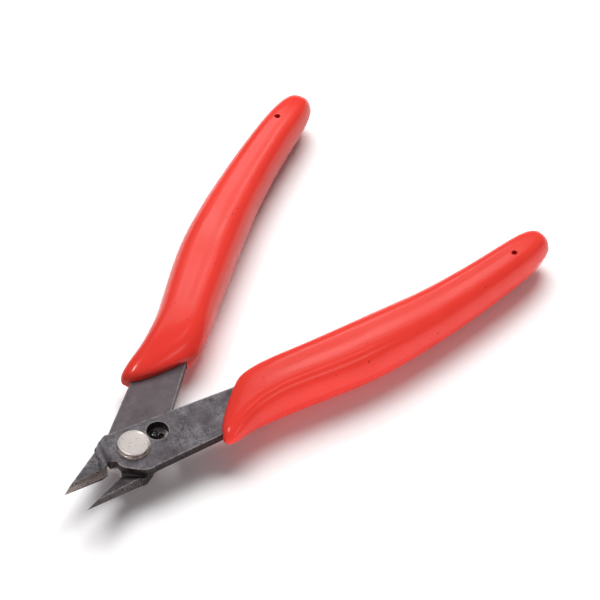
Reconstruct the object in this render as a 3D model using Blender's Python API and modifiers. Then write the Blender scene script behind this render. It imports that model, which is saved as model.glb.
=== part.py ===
"""Diagonal cutting pliers with a lapped, riveted joint, a hidden return spring and sleeve grips.

The pliers lie on a flat surface with the jaws at -Y and the handles at +Y, sprung open.
Shapes are given in millimetres from the pivot, with height measured from the lap plane
between the two levers, and MM turns them into metres.
"""

import math

import bmesh
import bpy
import numpy
from mathutils import Matrix, Vector

MM = 0.001

# Where the pivot stands.
PIVOT_Y = -42.8
LAP_HEIGHT = 6.0

# Levers: two lapped steel plates.
PLATE_TOP = 2.2
LAP_GAP = 0.1
HALF_OPEN = math.radians(9.3)
CUT_START = 9.2
TIP_REACH = 20.1
TIP_FLAT = 0.12
BEVEL_START = 8.1
BEVEL_FOOT = 0.3
BEVEL_RUN_BACK = 0.6
BEVEL_CREST = (-2.95, -12.55)

# Jaws: each is bent up across a fold line, which is given by its middle point.
FOLD_MIDDLE = Vector((-5.04, -6.44, 0.0))
FOLD_NORMAL = Vector((-0.62, -0.785, 0.0)).normalized()
FOLD_HEIGHT = 0.6
JAW_SLOPE = 0.335
JAW_DEPTH = 2.32
JAW_TAPER = 0.105
SHOULDER = -1.55
VALLEY = -0.95
VALLEY_HEIGHT = 0.45
STEP_TOP = -2.95
LOWER_RISE_START = -1.75
LOWER_RISE_END = 0.35
LOWER_KNEE = -1.1

# Plan of the lever whose jaw is at -X and whose handle is at +X.
HANDLE_INNER = ((7.2, 27.1), (9.9, 32.6), (11.3, 38.0), (16.7, 49.4), (21.6, 60.8),
                (25.4, 72.2), (28.8, 83.6), (30.9, 91.2))
HANDLE_OUTER = ((13.3, 14.7), (14.7, 19.0), (15.7, 24.7), (17.1, 30.4), (19.9, 38.0),
                (24.7, 49.4), (29.0, 60.8), (32.0, 72.2), (34.4, 83.6), (35.5, 91.2))
TANG_END = ((32.3, 93.2), (34.6, 92.8))
PLATE_FRONT = ((7.35, -0.9), (6.95, -2.3), (5.75, -3.7), (3.9, -4.8), (2.3, -5.6),
               (1.0, -5.9), (-0.2, -5.6))
UPPER_NOTCH = ((-0.75, -6.0), (-0.95, -6.9), (-1.3, -7.8), (-1.4, -8.5))
LOWER_NOTCH = ((-1.1, -5.9), (-1.6, -6.5), (-2.0, -7.3), (-2.0, -8.2))
UPPER_HEEL = ((-7.15, -5.56), (-7.2, -4.8), (-7.5, -3.8), (-7.8, -2.9), (-7.45, -1.9),
              (-6.7, -1.2))
LOWER_HEEL = ((-6.3, -5.45), (-6.55, -4.8), (-6.72, -4.2), (-6.7, -3.4), (-6.55, -2.6),
              (-6.4, -1.6), (-6.2, -0.9))

# Pivot rivet and the washer under its head.
SHANK_RADIUS = 1.9
SHANK_FIT = 0.06
HEAD_RADIUS = 3.48
HEAD_TOP = 3.6
HEAD_UNDER = 2.92
RIM_WIDTH = 0.34
RIM_SLOPE = 0.14
RIM_RISE = 0.1
HEAD_CHAMFER = 0.16
TAIL_RADIUS = 3.1
TAIL_FLAT_RADIUS = 2.23
TAIL_HEIGHT = 0.7
TAIL_EDGE = 0.25
WASHER_RADIUS = 3.8
WASHER_LOW = 2.26
WASHER_HIGH = 2.86
WASHER_CHAMFER = 0.18

# Return spring, and the post that it bears on.
WIRE_RADIUS = 0.35
COIL_RADIUS = 3.0
COIL_RISE = 0.6
COIL_TURNS = 1.25
COIL_STEPS = 40
LOWER_LEG_ANGLE = math.radians(80)
LOWER_LEG = 6.9
UPPER_LEG = 3.5
RECESS_RADIUS = 3.55
RECESS_DEPTH = 1.05
GROOVE_HALF_WIDTH = 0.6
POST_PLACE = (0.59, 6.16)
POST_RADIUS = 0.9
POST_FIT = 0.06
POST_DOME = 0.54
POST_TOP = 1.3
POST_LOW = -1.6
WINDOW_PLACE = (1.33, 6.6)
WINDOW_RADIUS = 2.5

# Grips: each section spans an outer and an inner point, with a half height, how far its
# middle is lifted, and how much of the mouth's form it takes.
GRIP_SECTIONS = (
    ((15.1, 14.2), (6.8, 27.3), 2.35, 0.0, 1.0),
    ((16.5, 15.0), (6.2, 28.9), 3.2, 0.5, 0.85),
    ((16.8, 17.9), (6.5, 31.5), 4.3, 0.9, 0.5),
    ((16.9, 22.3), (7.6, 34.8), 5.35, 0.9, 0.2),
    ((18.0, 27.1), (8.9, 38.0), 6.3, 0.6, 0.0),
    ((19.6, 31.7), (10.5, 41.5), 6.6, 0.4, 0.0),
    ((22.4, 37.4), (12.3, 45.6), 6.6, 0.4, 0.0),
    ((27.0, 46.8), (14.8, 51.9), 6.6, 0.4, 0.0),
    ((29.3, 52.7), (17.2, 57.5), 6.75, 0.45, 0.0),
    ((31.8, 60.7), (20.0, 64.8), 6.4, 0.45, 0.0),
    ((34.0, 69.7), (23.2, 72.8), 5.95, 0.3, 0.0),
    ((35.8, 78.6), (25.7, 81.0), 5.7, 0.3, 0.0),
    ((37.3, 87.4), (28.0, 89.3), 5.45, 0.35, 0.0),
    ((38.4, 95.2), (29.7, 96.9), 5.2, 0.4, 0.0),
    ((38.7, 101.2), (31.1, 103.0), 4.5, 0.4, 0.0),
    ((37.9, 105.5), (33.3, 106.5), 2.9, 0.3, 0.0),
)
# The mouth's bulge at places across it, from the inner side (-1) to the outer side (1).
MOUTH_PLACES = (-1.0, -0.7, -0.3, 0.4, 0.8, 1.0)
MOUTH_BULGES = (0.0, 0.35, 1.3, 1.95, 1.65, 0.5)
MOUTH_STAND_OFF = 1.1
SECTION_POINTS = 12
SECTION_POWER = 2.5
CAGE_GROWTH = 1.035
POCKET_GAP = 0.3
POCKET_MOUTH = ((4.2, 21.0), (11.4, 9.0))
POCKET_END = ((32.4, 97.2), (34.9, 96.8))
LEAST_MITRE = 0.4
VENT_PLACE = (34.6, 95.0)
VENT_RADIUS = 0.68
VENT_FLOOR = 3.2
REST_BLOCK = ((0.0, 5.0), (45.0, 5.0), (45.0, 110.0), (0.0, 110.0))
REST_DEPTH = 3.0

# Cutting shapes: how far they run past the metal on every side.
STOCK_LOW = -4.0
STOCK_HIGH = 9.0
BORE_LOW = -5.0
BORE_HIGH = 5.0
PROFILE_BACK = -140.0
PROFILE_FRONT = 16.0
PROFILE_HALF_WIDTH = 70.0
SLAB_SIZE = 14.0
SLAB_DEPTH = 8.0
SLAB_OVERRUN = 6.0
OVERLAP = 1.0

STEEL = ((0.055, 0.058, 0.066), 0.42, 0.85)
NICKEL = ((0.62, 0.59, 0.55), 0.28, 1.0)
SPRING_STEEL = ((0.20, 0.20, 0.21), 0.35, 1.0)
VINYL = ((0.78, 0.045, 0.025), 0.30, 0.0)


def clear_scene():
    for old in list(bpy.data.objects):
        bpy.data.objects.remove(old, do_unlink=True)


def new_collection(name):
    made = bpy.data.collections.new(name)
    bpy.context.scene.collection.children.link(made)
    return made


def new_material(name, look):
    colour, roughness, metallic = look
    made = bpy.data.materials.new(name)
    made.use_nodes = True
    shader = made.node_tree.nodes["Principled BSDF"]
    shader.inputs["Base Color"].default_value = (*colour, 1.0)
    shader.inputs["Roughness"].default_value = roughness
    shader.inputs["Metallic"].default_value = metallic
    return made


def pivot_frame():
    return Matrix.Translation((0.0, PIVOT_Y * MM, LAP_HEIGHT * MM))


def new_object(name, mesh, group):
    made = bpy.data.objects.new(name, mesh)
    group.objects.link(made)
    made.matrix_world = pivot_frame()
    return made


def finish_part(part, material):
    part.data.materials.clear()
    part.data.materials.append(material)
    part.data.shade_smooth()
    part.data.set_sharp_from_angle(angle=math.radians(30))


def boolean(part, cutter, operation="DIFFERENCE"):
    cut = part.modifiers.new(cutter.name, "BOOLEAN")
    cut.operation = operation
    cut.object = cutter


def mirrored(points):
    return [(-x, y) for x, y in reversed(points)]


def mirrored_if(side, points):
    return mirrored(points) if side > 0 else list(points)


def curve_to_mesh(curve_object, name, group):
    """A curve can't be cut, so it becomes a mesh with its caps welded to its sides."""
    graph = bpy.context.evaluated_depsgraph_get()
    mesh = bpy.data.meshes.new_from_object(curve_object.evaluated_get(graph))
    cleaner = bmesh.new()
    cleaner.from_mesh(mesh)
    bmesh.ops.remove_doubles(cleaner, verts=cleaner.verts, dist=0.001 * MM)
    bmesh.ops.recalc_face_normals(cleaner, faces=cleaner.faces)
    cleaner.to_mesh(mesh)
    cleaner.free()
    made = bpy.data.objects.new(name, mesh)
    group.objects.link(made)
    made.matrix_world = curve_object.matrix_world
    bpy.data.objects.remove(curve_object, do_unlink=True)
    return made


def prism(name, outline, low, high, group, turn=None):
    """A flat outline given some height, laid in the pivot's frame or turned within it."""
    curve = bpy.data.curves.new(name, "CURVE")
    curve.dimensions = "2D"
    curve.fill_mode = "BOTH"
    curve.extrude = (high - low) / 2 * MM
    spline = curve.splines.new("POLY")
    spline.points.add(len(outline) - 1)
    for point, (x, y) in zip(spline.points, outline):
        point.co = (x * MM, y * MM, 0.0, 1.0)
    spline.use_cyclic_u = True
    drawn = bpy.data.objects.new(name + "_curve", curve)
    group.objects.link(drawn)
    middle = Matrix.Translation((0.0, 0.0, (high + low) / 2 * MM))
    drawn.matrix_world = pivot_frame() @ (turn or Matrix()) @ middle
    bpy.context.view_layer.update()
    return curve_to_mesh(drawn, name, group)


def cylinder(name, place, radius, low, high, group, segments=40):
    mesh = bpy.data.meshes.new(name)
    maker = bmesh.new()
    centre = Matrix.Translation((place[0] * MM, place[1] * MM, (low + high) / 2 * MM))
    bmesh.ops.create_cone(maker, cap_ends=True, segments=segments, radius1=radius * MM,
                          radius2=radius * MM, depth=(high - low) * MM, matrix=centre)
    maker.to_mesh(mesh)
    maker.free()
    return new_object(name, mesh, group)


def slab(name, start, end, outward, group):
    """A block that stands on the plane through start and end, and reaches past end only."""
    along = (end - start).normalized()
    length = (end - start).length + SLAB_OVERRUN
    mesh = bpy.data.meshes.new(name)
    maker = bmesh.new()
    bmesh.ops.create_cube(maker, size=MM)
    bmesh.ops.scale(maker, vec=(SLAB_SIZE, length, SLAB_DEPTH), verts=maker.verts)
    turn = Matrix((along.cross(outward), along, outward)).transposed().to_4x4()
    centre = start + along * length / 2 + outward * SLAB_DEPTH / 2
    bmesh.ops.transform(maker, matrix=Matrix.Translation(centre * MM) @ turn, verts=maker.verts)
    maker.to_mesh(mesh)
    maker.free()
    return new_object(name, mesh, group)


def turned(name, profile, group, steps=48):
    """A turned solid from a profile that starts and ends on the axis, top to bottom."""
    mesh = bpy.data.meshes.new(name)
    verts = [(radius * MM, 0.0, height * MM) for radius, height in profile]
    mesh.from_pydata(verts, [(i, i + 1) for i in range(len(verts) - 1)], [])
    made = new_object(name, mesh, group)
    screw = made.modifiers.new("turn", "SCREW")
    screw.steps = steps
    screw.render_steps = steps
    screw.use_merge_vertices = True
    screw.merge_threshold = 0.00001
    return made


def wire(name, points, radius, group):
    curve = bpy.data.curves.new(name, "CURVE")
    curve.dimensions = "3D"
    curve.bevel_depth = radius * MM
    curve.bevel_resolution = 2
    curve.use_fill_caps = True
    spline = curve.splines.new("POLY")
    spline.points.add(len(points) - 1)
    for point, place in zip(spline.points, points):
        point.co = (*(Vector(place) * MM), 1.0)
    made = bpy.data.objects.new(name, curve)
    group.objects.link(made)
    made.matrix_world = pivot_frame()
    return made


def radial(reach):
    """A point on the open jaw's cutting edge, at a distance from the pivot."""
    return (-math.sin(HALF_OPEN) * reach, -math.cos(HALF_OPEN) * reach)


def lever_outline(notch, heel):
    """Plan of the lever with its jaw at -X, anticlockwise from the jaw's outer corner."""
    edge = [radial(CUT_START), radial(TIP_REACH)]
    tip_flat = (edge[1][0] - TIP_FLAT, edge[1][1])
    ring = list(HANDLE_INNER) + list(TANG_END) + list(reversed(HANDLE_OUTER))
    ring += list(PLATE_FRONT) + list(notch) + edge + [tip_flat] + list(heel)
    return ring[::-1]


def smooth_step(start, end, from_height, to_height, steps=6):
    points = []
    for i in range(steps + 1):
        part = i / steps
        height = from_height + (to_height - from_height) * (1 - math.cos(math.pi * part)) / 2
        points.append((start + (end - start) * part, height))
    return points


def jaw_top(along):
    return FOLD_HEIGHT + JAW_SLOPE * along


def jaw_under(along):
    return FOLD_HEIGHT - JAW_DEPTH + (JAW_SLOPE + JAW_TAPER) * along


def upper_profile():
    """Side view square to the fold: flat plate, valley, then the raised jaw with a shoulder below."""
    back, front = PROFILE_BACK, PROFILE_FRONT
    points = [(back, PLATE_TOP)] + smooth_step(STEP_TOP, VALLEY, PLATE_TOP, VALLEY_HEIGHT)
    points += [(0.0, FOLD_HEIGHT), (front, jaw_top(front)), (front, jaw_under(front))]
    points += [(0.0, jaw_under(0.0)), (SHOULDER, jaw_under(0.0)), (SHOULDER, LAP_GAP / 2)]
    points += [(back, LAP_GAP / 2)]
    return points[::-1]


def lower_profile():
    """The lower plate, whose jaw rises past the lap plane in front of the other plate's edge."""
    back, front = PROFILE_BACK, PROFILE_FRONT
    start, end = LOWER_RISE_START, LOWER_RISE_END
    points = [(back, -LAP_GAP / 2)] + smooth_step(start, end, -LAP_GAP / 2, jaw_top(end))
    points += [(front, jaw_top(front)), (front, jaw_under(front)), (0.0, jaw_under(0.0))]
    points += [(LOWER_KNEE, -PLATE_TOP), (back, -PLATE_TOP)]
    return points[::-1]


def fold_frame(side):
    """Turns a side view so that it runs along the fold's normal and upright."""
    normal = Vector((FOLD_NORMAL.x * -side, FOLD_NORMAL.y, 0.0))
    across = normal.cross(Vector((0.0, 0.0, 1.0)))
    turn = Matrix((normal, Vector((0.0, 0.0, 1.0)), across)).transposed().to_4x4()
    middle = Vector((FOLD_MIDDLE.x * -side, FOLD_MIDDLE.y, 0.0)) * MM
    return Matrix.Translation(middle) @ turn


def on_jaw(x, y, height_at):
    along = (Vector((x, y, 0.0)) - FOLD_MIDDLE).dot(FOLD_NORMAL)
    return Vector((x, y, height_at(along)))


def jaw_cuts(heel_corner):
    """The ground bevel above the cutting edge, and the leaning outer wall, for the jaw at -X."""
    start = Vector((*radial(BEVEL_START), jaw_under(BEVEL_FOOT)))
    end = on_jaw(*radial(TIP_REACH), jaw_under)
    crest = on_jaw(*BEVEL_CREST, jaw_top)
    bevel = (end - start).cross(crest - start).normalized()
    bevel *= math.copysign(1.0, bevel.x)
    start -= (end - start).normalized() * BEVEL_RUN_BACK
    heel = on_jaw(*heel_corner, jaw_under)
    upright = Vector((-JAW_SLOPE * FOLD_NORMAL.x, -JAW_SLOPE * FOLD_NORMAL.y, 1.0))
    wall = (end - heel).cross(upright).normalized()
    wall *= -math.copysign(1.0, wall.x)
    return (start, end, bevel), (heel, end, wall)


def flip(vector, side):
    return Vector((-side * vector.x, vector.y, vector.z))


def make_lever(name, side, parts, cutters):
    """side is -1 for the lever whose jaw is at -X, and +1 for its mirror image."""
    notch, heel = (UPPER_NOTCH, UPPER_HEEL) if side < 0 else (LOWER_NOTCH, LOWER_HEEL)
    outline = lever_outline(notch, heel)
    lever = prism(name, mirrored_if(side, outline), STOCK_LOW, STOCK_HIGH, parts)
    profile = upper_profile() if side < 0 else lower_profile()
    half = PROFILE_HALF_WIDTH
    shape = prism(name + "_side_view", profile, -half, half, cutters, fold_frame(side))
    boolean(lever, shape, "INTERSECT")
    for label, cut in zip(("bevel", "outer_wall"), jaw_cuts(heel[0])):
        boolean(lever, slab(f"{name}_{label}", *[flip(vector, side) for vector in cut], cutters))
    bore = SHANK_RADIUS + SHANK_FIT
    boolean(lever, cylinder(name + "_rivet_hole", (0, 0), bore, BORE_LOW, BORE_HIGH, cutters))
    if side < 0:
        low, high = -OVERLAP, RECESS_DEPTH
    else:
        low, high = -RECESS_DEPTH, OVERLAP
    recess = cylinder(name + "_spring_recess", (0, 0), RECESS_RADIUS, low, high, cutters)
    boolean(lever, recess)
    return lever, (low, high)


def tangent_leg(angle, length, turn_sign):
    """Where a straight leg that leaves the coil at this angle starts and ends."""
    start = Vector((COIL_RADIUS * math.sin(angle), COIL_RADIUS * math.cos(angle)))
    heading = Vector((math.cos(angle), -math.sin(angle))) * turn_sign
    return start, start + heading * length


def groove_outline(start, end):
    along = (end - start).normalized()
    across = Vector((-along.y, along.x)) * GROOVE_HALF_WIDTH
    tail = end + along * GROOVE_HALF_WIDTH
    return [start - across, tail - across, tail + across, start + across]


def upper_leg_angle():
    return LOWER_LEG_ANGLE + COIL_TURNS * 2 * math.pi


def make_upper_lever(parts, cutters):
    lever, (low, high) = make_lever("upper_lever", -1, parts, cutters)
    window = cylinder("window", WINDOW_PLACE, WINDOW_RADIUS, -OVERLAP, BORE_HIGH, cutters)
    boolean(lever, window)
    groove = groove_outline(*tangent_leg(upper_leg_angle(), UPPER_LEG, 1))
    boolean(lever, prism("upper_leg_groove", groove, low, high, cutters))
    return lever


def make_lower_lever(parts, cutters):
    lever, (low, high) = make_lever("lower_lever", 1, parts, cutters)
    groove = groove_outline(*tangent_leg(LOWER_LEG_ANGLE, LOWER_LEG, -1))
    boolean(lever, prism("lower_leg_groove", groove, low, high, cutters))
    bore = POST_RADIUS + POST_FIT
    seat_low = POST_LOW - LAP_GAP
    boolean(lever, cylinder("post_seat", POST_PLACE, bore, seat_low, OVERLAP, cutters))
    return lever


def make_rivet(parts):
    inner = HEAD_RADIUS - RIM_WIDTH
    floor = HEAD_TOP - RIM_RISE
    under = -PLATE_TOP - LAP_GAP / 2
    profile = [(0, floor), (inner - RIM_SLOPE, floor), (inner, HEAD_TOP)]
    profile += [(HEAD_RADIUS - HEAD_CHAMFER, HEAD_TOP), (HEAD_RADIUS, HEAD_TOP - HEAD_CHAMFER)]
    profile += [(HEAD_RADIUS, HEAD_UNDER), (SHANK_RADIUS, HEAD_UNDER)]
    profile += [(SHANK_RADIUS, under), (TAIL_RADIUS, under), (TAIL_RADIUS, under - TAIL_EDGE)]
    profile += [(TAIL_FLAT_RADIUS, under - TAIL_HEIGHT), (0, under - TAIL_HEIGHT)]
    return turned("pivot_rivet", profile, parts)


def make_washer(parts, cutters):
    edge = WASHER_CHAMFER
    profile = [(0, WASHER_HIGH), (WASHER_RADIUS - edge, WASHER_HIGH)]
    profile += [(WASHER_RADIUS, WASHER_HIGH - edge), (WASHER_RADIUS, WASHER_LOW + edge)]
    profile += [(WASHER_RADIUS - edge, WASHER_LOW), (0, WASHER_LOW)]
    washer = turned("head_washer", profile, parts)
    bore = SHANK_RADIUS + SHANK_FIT
    boolean(washer, cylinder("washer_bore", (0, 0), bore, OVERLAP, BORE_HIGH, cutters))
    return washer


def make_spring(parts):
    lower_end = tangent_leg(LOWER_LEG_ANGLE, LOWER_LEG, -1)[1]
    upper_end = tangent_leg(upper_leg_angle(), UPPER_LEG, 1)[1]
    points = [(lower_end.x, lower_end.y, -COIL_RISE)]
    for i in range(COIL_STEPS + 1):
        angle = LOWER_LEG_ANGLE + COIL_TURNS * 2 * math.pi * i / COIL_STEPS
        height = COIL_RISE * (2 * i / COIL_STEPS - 1)
        points.append((COIL_RADIUS * math.sin(angle), COIL_RADIUS * math.cos(angle), height))
    points.append((upper_end.x, upper_end.y, COIL_RISE))
    return wire("return_spring", points, WIRE_RADIUS, parts)


def make_post(parts):
    dome_steps = 4
    profile = []
    for i in range(dome_steps + 1):
        angle = math.pi / 2 * i / dome_steps
        height = POST_TOP - POST_DOME * (1 - math.cos(angle))
        profile.append((POST_RADIUS * math.sin(angle), height))
    profile += [(POST_RADIUS, POST_LOW), (0, POST_LOW)]
    post = turned("spring_post", profile, parts, 24)
    post.location.x += POST_PLACE[0] * MM
    post.location.y += POST_PLACE[1] * MM
    return post


def superellipse(angle):
    """Where a rounded box of unit half size has its edge, at this angle."""
    power = 2 / SECTION_POWER
    cosine, sine = math.cos(angle), math.sin(angle)
    across = math.copysign(abs(cosine) ** power, cosine)
    rise = math.copysign(abs(sine) ** power, sine)
    return across, rise


def grip_ring(maker, section, side):
    outer, inner, half_height, lift, share = section
    middle = (Vector(outer) + Vector(inner)) / 2
    half = (Vector(outer) - Vector(inner)) / 2 * CAGE_GROWTH
    forward = Vector((half.y, -half.x)).normalized() * share
    ring = []
    for i in range(SECTION_POINTS):
        across, rise = superellipse(2 * math.pi * (i + 0.5) / SECTION_POINTS)
        bulge = float(numpy.interp(across, MOUTH_PLACES, MOUTH_BULGES))
        place = middle + half * across + forward * bulge
        height = rise * half_height * CAGE_GROWTH + lift - side * MOUTH_STAND_OFF * share
        ring.append(maker.verts.new(Vector((place.x * -side, place.y, height)) * MM))
    return ring


def grip_cage(side):
    """Rings of points joined along the grip, with strips of faces across the mouth."""
    maker = bmesh.new()
    rings = [grip_ring(maker, section, side) for section in GRIP_SECTIONS]
    for ring, following in zip(rings, rings[1:]):
        for i in range(SECTION_POINTS):
            j = (i + 1) % SECTION_POINTS
            maker.faces.new((ring[i], ring[j], following[j], following[i]))
    mouth = rings[0]
    last = SECTION_POINTS - 1
    for i in range(SECTION_POINTS // 2 - 1):
        maker.faces.new((mouth[i], mouth[i + 1], mouth[last - i - 1], mouth[last - i]))
    maker.faces.new(rings[-1])
    bmesh.ops.recalc_face_normals(maker, faces=maker.faces)
    return maker


def make_grip(name, side, parts, cutters):
    """side is -1 for the right grip, on the upper lever, and +1 for the left grip."""
    mesh = bpy.data.meshes.new(name)
    maker = grip_cage(side)
    maker.to_mesh(mesh)
    maker.free()
    grip = new_object(name, mesh, parts)
    smooth = grip.modifiers.new("smooth", "SUBSURF")
    smooth.levels = 1
    smooth.render_levels = 1
    boolean(grip, make_pocket(name, side, cutters))
    place = (VENT_PLACE[0] * -side, VENT_PLACE[1])
    boolean(grip, cylinder(name + "_vent", place, VENT_RADIUS, VENT_FLOOR, STOCK_HIGH, cutters, 16))
    table = mirrored_if(side, REST_BLOCK)
    low = -LAP_HEIGHT - REST_DEPTH
    boolean(grip, prism(name + "_rest", table, low, -LAP_HEIGHT, cutters))
    return grip


def make_pocket(name, side, cutters):
    ring = [POCKET_MOUTH[0]] + list(HANDLE_INNER) + [POCKET_END[0], POCKET_END[1]]
    ring += list(reversed(HANDLE_OUTER)) + [POCKET_MOUTH[1]]
    ring = mirrored_if(side, grown(ring[::-1], POCKET_GAP))
    low, high = LAP_GAP / 2 - POCKET_GAP, PLATE_TOP + POCKET_GAP
    if side > 0:
        low, high = -high, -low
    return prism(name + "_pocket", ring, low, high, cutters)


def grown(ring, distance):
    """An outline moved outward by a distance; the ring runs clockwise or anticlockwise."""
    area = 0.0
    for (x1, y1), (x2, y2) in zip(ring, ring[1:] + ring[:1]):
        area += x1 * y2 - x2 * y1
    sign = 1.0 if area > 0 else -1.0
    moved = []
    for before, here, after in zip(ring[-1:] + ring[:-1], ring, ring[1:] + ring[:1]):
        first = (Vector(here) - Vector(before)).normalized()
        second = (Vector(after) - Vector(here)).normalized()
        normal = Vector((first.y + second.y, -first.x - second.x)) * sign
        normal = normal.normalized()
        stretch = max(LEAST_MITRE, normal.dot(Vector((first.y, -first.x)) * sign))
        place = Vector(here) + normal * distance / stretch
        moved.append((place.x, place.y))
    return moved


def hide_cutters(cutters):
    for cutter in cutters.objects:
        cutter.hide_render = True
        cutter.display_type = "WIRE"


def hang_on_axis(moving, parts):
    axis = bpy.data.objects.new("lower_lever_axis", None)
    parts.objects.link(axis)
    axis.matrix_world = pivot_frame()
    bpy.context.view_layer.update()
    for part in moving:
        part.parent = axis
        part.matrix_parent_inverse = axis.matrix_world.inverted()


def main():
    clear_scene()
    parts = new_collection("diagonal_cutting_pliers")
    cutters = new_collection("cutters")
    steel = new_material("blackened_steel", STEEL)
    nickel = new_material("nickel_plate", NICKEL)
    spring_steel = new_material("spring_steel", SPRING_STEEL)
    vinyl = new_material("red_vinyl", VINYL)
    upper = make_upper_lever(parts, cutters)
    lower = make_lower_lever(parts, cutters)
    rivet = make_rivet(parts)
    washer = make_washer(parts, cutters)
    spring = make_spring(parts)
    post = make_post(parts)
    right_grip = make_grip("right_grip", -1, parts, cutters)
    left_grip = make_grip("left_grip", 1, parts, cutters)
    for part in (upper, lower):
        finish_part(part, steel)
    for part in (rivet, washer):
        finish_part(part, nickel)
    for part in (right_grip, left_grip):
        finish_part(part, vinyl)
    finish_part(post, spring_steel)
    spring.data.materials.append(spring_steel)
    hide_cutters(cutters)
    hang_on_axis((lower, left_grip, post), parts)


main()
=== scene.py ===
"""Looks of the diagonal cutting pliers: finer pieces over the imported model, their materials,
a pale floor, soft light and the camera.

Shapes are in millimetres from the pivot, with height measured from the lap plane between the
two levers; settle() turns them into the frame's metres.
"""

import math

import bmesh
import bpy
import numpy
from mathutils import Matrix, Vector

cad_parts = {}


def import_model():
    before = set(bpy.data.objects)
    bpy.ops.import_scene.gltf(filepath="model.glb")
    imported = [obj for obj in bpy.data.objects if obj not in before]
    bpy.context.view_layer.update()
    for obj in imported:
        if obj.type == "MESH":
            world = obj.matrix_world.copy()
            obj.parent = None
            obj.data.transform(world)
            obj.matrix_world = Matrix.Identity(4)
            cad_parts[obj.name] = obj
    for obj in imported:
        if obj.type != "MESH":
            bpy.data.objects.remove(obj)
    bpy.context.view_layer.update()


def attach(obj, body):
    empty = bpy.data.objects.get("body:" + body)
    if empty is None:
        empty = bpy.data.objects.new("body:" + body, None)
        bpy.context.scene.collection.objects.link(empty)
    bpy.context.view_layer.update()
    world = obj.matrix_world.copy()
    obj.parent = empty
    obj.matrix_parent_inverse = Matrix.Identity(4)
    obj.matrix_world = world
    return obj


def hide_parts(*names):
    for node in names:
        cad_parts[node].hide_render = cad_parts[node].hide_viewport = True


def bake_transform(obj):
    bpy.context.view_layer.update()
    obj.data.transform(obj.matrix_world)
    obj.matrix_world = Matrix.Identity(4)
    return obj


MM = 0.001
PIVOT = Vector((0.0, -42.8, 6.0))
UPPER_BODY = "upper_lever_body"
LOWER_BODY = "lower_lever_body"
WHITE = (1.0, 1.0, 1.0)

# Limits for welding, in millimetres, and for flat, smooth and worn corners.
LEVER_WELD = 0.002
TURNED_WELD = 0.0005
FLAT_LIMIT = math.radians(0.4)
SMOOTH_LIMIT = math.radians(35)
SOFTEST_WORN = math.radians(28)
SHARPEST_WORN = math.radians(112)

# Camera, in metres.
CAMERA_PLACE = (0.3135, -0.3849, 0.6151)
CAMERA_RIGHT = (0.7882, 0.6154, 0.0)
CAMERA_UP = (-0.4733, 0.6061, 0.6392)
CAMERA_LENS = 207.8
CAMERA_SENSOR = 36.0
CAMERA_CLIP = (0.01, 20.0)
FLOOR_HALF_WIDTH = 4.0

# Light: the world's strength, the panels' distance in metres, and the radiance of each panel.
WORLD_LIGHT = 0.11
PANEL_REACH = 0.9
KEY_LIGHT = 9.6
KEY_REFLECTION = 4.8
RIGHT_LIGHT = 5.0
OVERHEAD_LIGHT = 3.6
LEFT_LIGHT = 150.0
FRONT_LIGHT = 29.0
FRONT_TINT = (1.0, 0.80, 0.84)

# Levers. Profiles are square to the fold, as places along the jaw and heights.
PLATE_TOP = 2.2
LAP_GAP = 0.1
HALF_OPEN = math.radians(9.3)
CUT_START = 9.2
TIP_REACH = 20.1
TIP_FLAT = 0.12
BEVEL_START = 8.1
BEVEL_FOOT = 0.3
BEVEL_RUN_BACK = 0.6
BEVEL_CREST = (-2.95, -12.55)
FOLD_MIDDLE = Vector((-5.04, -6.44, 0.0))
FOLD_NORMAL = Vector((-0.62, -0.785, 0.0)).normalized()
FOLD_HEIGHT = 0.6
JAW_SLOPE = 0.335
JAW_DEPTH = 2.32
JAW_TAPER = 0.105
UPPER_SHOULDER = -1.55
LOWER_SHOULDER = -1.1
VALLEY = -0.95
VALLEY_HEIGHT = 0.45
STEP_TOP = -2.95
UPPER_RIDGE = ((-0.45, 0.49), (-0.2, 0.56), (-0.05, 0.63), (0.12, 0.67))
RIDGE_END = 0.4
RISE_START = -1.75
RISE_END = 0.35
RISE_CREST = 0.06
PROFILE_BACK = -140.0
PROFILE_FRONT = 16.0
PROFILE_HALF_WIDTH = 70.0
BLANK_LOW = -4.0
BLANK_HIGH = 9.0
THROUGH = 5.0
OVERCUT = 1.0
HANDLE_INNER = ((7.2, 27.1), (9.9, 32.6), (11.3, 38.0), (16.7, 49.4), (21.6, 60.8),
                (25.4, 72.2), (28.8, 83.6), (30.9, 91.2))
HANDLE_OUTER = ((13.3, 14.7), (14.7, 19.0), (15.7, 24.7), (17.1, 30.4), (19.9, 38.0),
                (24.7, 49.4), (29.0, 60.8), (32.0, 72.2), (34.4, 83.6), (35.5, 91.2))
TANG_END = ((32.3, 93.2), (34.6, 92.8))
PLATE_FRONT = ((7.35, -0.9), (6.95, -2.3), (5.75, -3.7), (3.9, -4.8), (2.3, -5.6),
               (1.0, -5.9), (-0.2, -5.6))
UPPER_NOTCH = ((-0.75, -6.0), (-0.95, -6.9), (-1.3, -7.8), (-1.4, -8.5))
LOWER_NOTCH = ((-1.1, -5.9), (-1.6, -6.5), (-2.0, -7.3), (-2.0, -8.2))
UPPER_HEEL = ((-7.15, -5.56), (-7.2, -4.8), (-7.5, -3.8), (-7.8, -2.9), (-7.45, -1.9),
              (-6.7, -1.2))
LOWER_HEEL = ((-6.3, -5.45), (-6.55, -4.8), (-6.72, -4.2), (-6.7, -3.4), (-6.55, -2.6),
              (-6.4, -1.6), (-6.2, -0.9))
EDGE_WIDTH = 0.15
HANDLE_STEPS = 3
FRONT_STEPS = 4

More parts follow.
